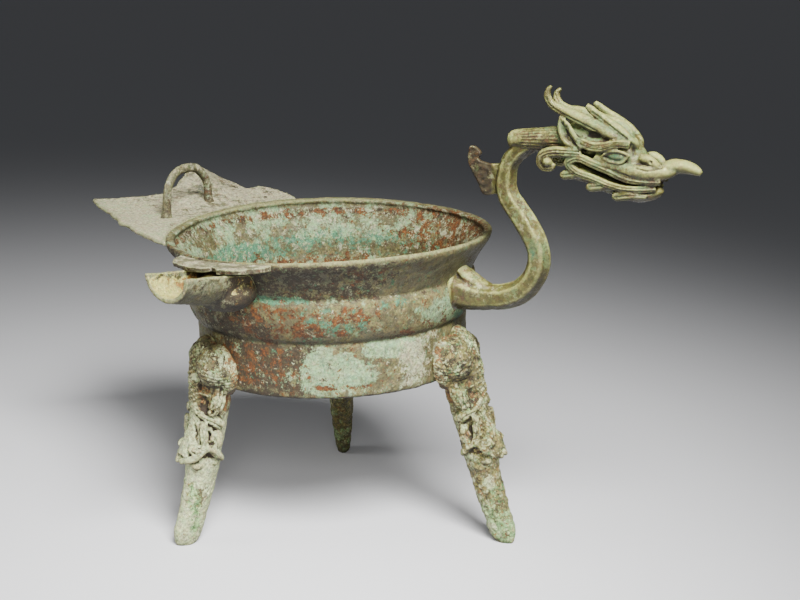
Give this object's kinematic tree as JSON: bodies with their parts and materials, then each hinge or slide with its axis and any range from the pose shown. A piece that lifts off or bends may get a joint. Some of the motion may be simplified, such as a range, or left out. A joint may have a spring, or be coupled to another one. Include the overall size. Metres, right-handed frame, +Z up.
{
  "type": "tripod ewer",
  "caption": "Ancient round bronze vessel on beast-shaped legs, with an open pouring spout, a torn leaf-shaped rim plate with a loop, and a curved handle ending in a dragon's head.",
  "frame": {"origin": "middle of the outer box, at floor level under the feet", "axes": "+Z up; +X towards the dragon handle, with the leaf plate at -X; the spout points roughly along -Y"},
  "size_m": [0.437, 0.268, 0.2946],
  "materials": {
    "bowl_bronze": "corroded bronze with green, blue, rust-orange and brown patina, matt",
    "plate_bronze": "pale beige-grey corroded bronze with ragged edges, matt",
    "spout_bronze": "speckled grey-green bronze, yellow-green inside, matt",
    "leg_bronze": "pale mint and grey-green crusted bronze with brown recesses, matt",
    "handle_bronze": "olive-yellow bronze worn bright on raised edges, satin"
  },
  "bodies": {
    "root": {"bowl": "bowl_bronze", "leaf_plate": "plate_bronze", "plate_loop": "plate_bronze", "spout": "spout_bronze", "spout_ledge": "plate_bronze", "leg_under_handle": "leg_bronze", "leg_back": "leg_bronze", "leg_front": "leg_bronze", "dragon_handle": "handle_bronze"}
  },
  "joints": []
}
